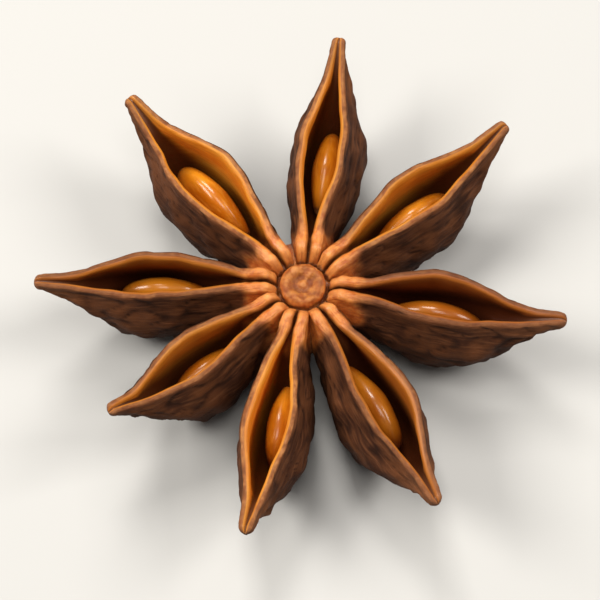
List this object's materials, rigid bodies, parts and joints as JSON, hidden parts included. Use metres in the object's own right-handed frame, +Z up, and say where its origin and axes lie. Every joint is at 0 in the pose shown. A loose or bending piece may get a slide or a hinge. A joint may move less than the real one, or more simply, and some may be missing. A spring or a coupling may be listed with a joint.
{
  "type": "star anise pod",
  "caption": "Dried star anise pod: boat-shaped woody carpels joined in a star round a short column, each split open along its top seam over a glossy seed.",
  "frame": {"origin": "centre of the pod's outline, on the surface it rests on", "axes": "+Z up along the pod's column, open seams up; +Y about along the carpel that holds seed_1, -X along that of seed_3"},
  "size_m": [0.032, 0.032, 0.0079],
  "materials": {
    "husk": "dry woody husk, rough and wrinkled outside, smooth orange-brown inside",
    "seed": "glossy amber-brown seed coat"
  },
  "bodies": {
    "root": {"husk": "husk", "seed_1": "seed", "seed_2": "seed", "seed_3": "seed", "seed_4": "seed", "seed_5": "seed", "seed_6": "seed", "seed_7": "seed", "seed_8": "seed"}
  },
  "joints": []
}
